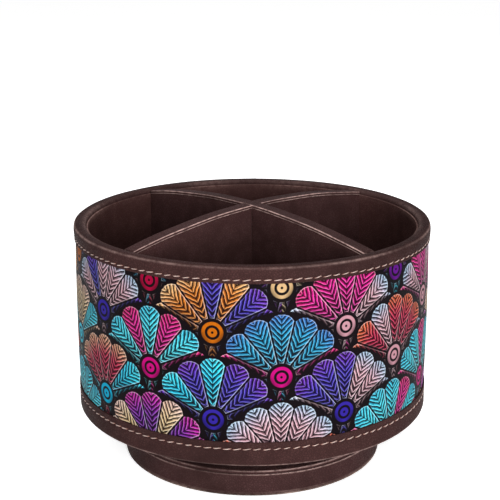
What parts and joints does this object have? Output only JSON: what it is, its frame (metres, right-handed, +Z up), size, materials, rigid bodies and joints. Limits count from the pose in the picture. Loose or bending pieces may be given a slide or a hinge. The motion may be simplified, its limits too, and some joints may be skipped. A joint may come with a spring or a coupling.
{
  "type": "rotating pen holder",
  "caption": "Round leather-covered pen holder: a drum with crossing dividers that turns on a smaller round base.",
  "frame": {"origin": "centre of the base's underside, on the surface it stands on", "axes": "+Z up along the axis that the drum turns on; -Y towards the viewer, where the front compartment opens"},
  "size_m": [0.16, 0.16, 0.1154],
  "materials": {
    "brown_leather": "fine-grained semi-matte coated leather",
    "liner_leather": "matte coated leather",
    "printed_leather": "smooth printed leather, low sheen",
    "grey_card": "dense grey card",
    "wood_board": "raw fibreboard",
    "underside_fabric": "thin non-woven sheet",
    "foot_foam": "matte brown foam rubber sheet",
    "plated_steel": "zinc-plated pressed steel",
    "screw_steel": "zinc-plated steel",
    "ball_steel": "polished steel",
    "cage_plastic": "moulded nylon"
  },
  "bodies": {
    "base": {"base_board": "wood_board", "base_pad": "foot_foam", "base_top_cover": "brown_leather", "base_side_strip": "brown_leather", "base_screws": "screw_steel", "bearing_lower_plate": "plated_steel", "centre_rivet": "plated_steel"},
    "ball_ring": {"bearing_balls": "ball_steel", "ball_cage": "cage_plastic"},
    "drum": {"bearing_upper_plate": "plated_steel", "pivot_bush": "cage_plastic", "mounting_disc": "wood_board", "drum_screws": "screw_steel", "underside_cover": "underside_fabric", "drum_floor_board": "wood_board", "drum_wall_board": "grey_card", "printed_panel": "printed_leather", "rim_binding": "brown_leather", "bottom_binding": "brown_leather", "liner_card": "grey_card", "inner_liner": "liner_leather", "floor_lining_front": "liner_leather", "floor_lining_right": "liner_leather", "floor_lining_back": "liner_leather", "floor_lining_left": "liner_leather", "divider_one_board": "grey_card", "divider_one_edge_strip": "brown_leather", "divider_one_face_left": "brown_leather", "divider_one_face_right": "brown_leather", "divider_two_board": "grey_card", "divider_two_edge_strip": "brown_leather", "divider_two_face_left": "brown_leather", "divider_two_face_right": "brown_leather"}
  },
  "joints": [
    {"name": "drum_spin", "type": "hinge", "parent": "base", "child": "drum", "pos_m": [0, 0, 0.0154], "axis": [0, 0, 1], "continuous": true},
    {"name": "cage_spin", "type": "hinge", "parent": "base", "child": "ball_ring", "pos_m": [0, 0, 0.0154], "axis": [0, 0, 1], "continuous": true}
  ],
  "couplings": [
    {"joint": "cage_spin", "follows": "drum_spin", "ratio": 0.5}
  ]
}
